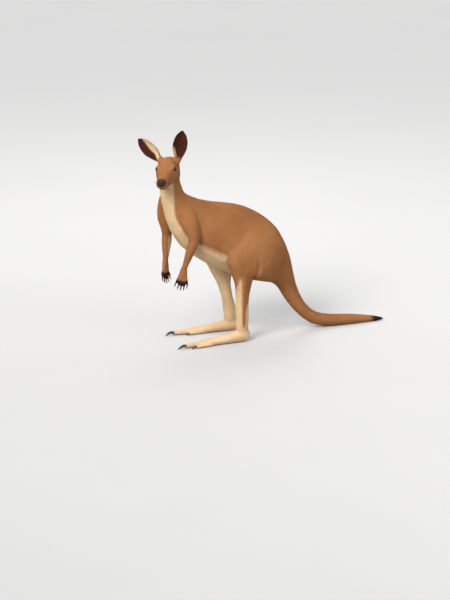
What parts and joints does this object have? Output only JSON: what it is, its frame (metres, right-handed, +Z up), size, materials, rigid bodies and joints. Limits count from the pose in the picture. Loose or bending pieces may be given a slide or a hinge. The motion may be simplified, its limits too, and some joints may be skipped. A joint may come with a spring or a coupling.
{
  "type": "kangaroo",
  "caption": "Life-size still model of a large brown kangaroo standing on its hind feet and tail, arms hanging, head turned to its left, ears raised.",
  "frame": {"origin": "on the floor, under the centre of the animal's bounding box", "axes": "+Z up; the body faces -X, its left side is towards -Y; the tail lies towards +X"},
  "size_m": [1.2874, 0.3438, 1.0736],
  "materials": {
    "brown_coat": "short brown fur lying flat, cream down the throat, chest and belly",
    "pale_coat": "short cream fur, with a brown band down the outer side of the left shin",
    "dark_coat": "short brown-black fur on the hands and the tail tip",
    "ear_coat": "thin dark brown fur, with a cream fringe along the inner edge",
    "eye": "wet, very dark brown",
    "claw": "smooth black horn"
  },
  "bodies": {
    "root": {"neck": "brown_coat", "upper_arm_left": "brown_coat", "forearm_left": "brown_coat", "thigh_left": "brown_coat", "shank_left": "pale_coat", "upper_arm_right": "brown_coat", "forearm_right": "brown_coat", "thigh_right": "brown_coat", "shank_right": "pale_coat", "trunk_chest": "brown_coat", "trunk_belly": "brown_coat", "trunk_rump": "brown_coat", "tail_root": "brown_coat", "tail_middle": "brown_coat", "tail_end": "brown_coat", "tail_tip": "dark_coat", "eye_left": "eye", "eye_right": "eye", "head": "brown_coat", "ear_left": "ear_coat", "ear_right": "ear_coat", "hand_left": "dark_coat", "hand_claw_left_1": "claw", "hand_claw_left_2": "claw", "hand_claw_left_3": "claw", "hand_claw_left_4": "claw", "hand_claw_left_5": "claw", "foot_left": "pale_coat", "foot_claw_left_1": "claw", "foot_claw_left_2": "claw", "foot_claw_left_3": "claw", "foot_claw_left_4": "claw", "hand_right": "dark_coat", "hand_claw_right_1": "claw", "hand_claw_right_2": "claw", "hand_claw_right_3": "claw", "hand_claw_right_4": "claw", "hand_claw_right_5": "claw", "foot_right": "pale_coat", "foot_claw_right_1": "claw", "foot_claw_right_2": "claw", "foot_claw_right_3": "claw", "foot_claw_right_4": "claw"}
  },
  "joints": []
}
